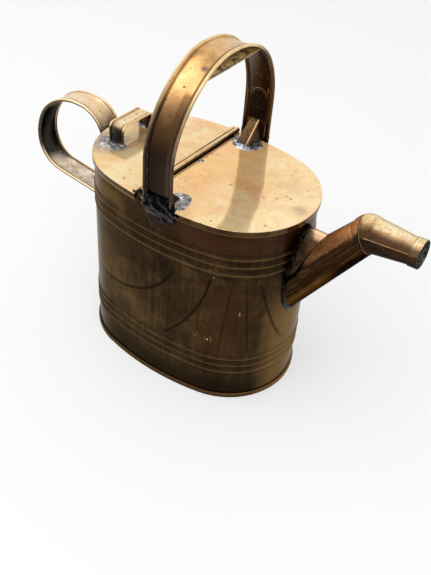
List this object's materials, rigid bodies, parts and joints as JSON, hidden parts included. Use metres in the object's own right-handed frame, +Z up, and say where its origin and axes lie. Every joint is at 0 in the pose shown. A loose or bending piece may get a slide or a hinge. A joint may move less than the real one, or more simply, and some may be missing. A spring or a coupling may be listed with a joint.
{
  "type": "hot water can",
  "caption": "Old brass and copper hot-water can with an oval body, hinged half lid, carrying hoop, rear handle and elbowed spout.",
  "frame": {"origin": "middle of the flat base, on the surface that the can stands on", "axes": "+X towards the spout, +Y across the body away from the near side of the hoop, +Z up"},
  "size_m": [0.4403, 0.1686, 0.3404],
  "materials": {
    "bright_brass": "old polished brass with fine scratches, brown pits and a golden tarnish",
    "worn_brass": "handled brass, brown in the hollows and golden on the edges",
    "dark_brass": "dark brown tarnished brass, still glossy, with bright flecks",
    "brown_copper": "brown copper with an orange gloss on top",
    "grey_solder": "dull grey soft solder, crumpled",
    "black_solder": "black lumpy solder with burnt flux",
    "pin_wire": "dark iron wire"
  },
  "bodies": {
    "can": {"body_wall": "dark_brass", "base_pan": "dark_brass", "deck": "bright_brass", "hinge_pin": "pin_wire", "carry_handle": "worn_brass", "gusset_near": "worn_brass", "gusset_far": "worn_brass", "gusset_solder_near": "grey_solder", "gusset_solder_far": "grey_solder", "carry_solder_near": "black_solder", "carry_solder_far": "black_solder", "rear_handle": "worn_brass", "rear_solder_top": "grey_solder", "rear_solder_bottom": "grey_solder", "spout_tube": "brown_copper", "spout_boot": "brown_copper", "spout_nozzle": "worn_brass", "nozzle_collar": "bright_brass", "spout_root_solder": "black_solder", "deck_solder_drop": "grey_solder", "grip_strap": "worn_brass", "grip_solder_near": "grey_solder", "grip_solder_far": "grey_solder"},
    "lid": {"lid": "bright_brass", "lid_handle": "bright_brass", "lid_handle_solder_near": "grey_solder", "lid_handle_solder_far": "grey_solder"}
  },
  "joints": [
    {"name": "lid_hinge", "type": "hinge", "parent": "can", "child": "lid", "pos_m": [-0.0162, 0, 0.2169], "axis": [0, 1, 0], "range_deg": [0, 95]}
  ]
}
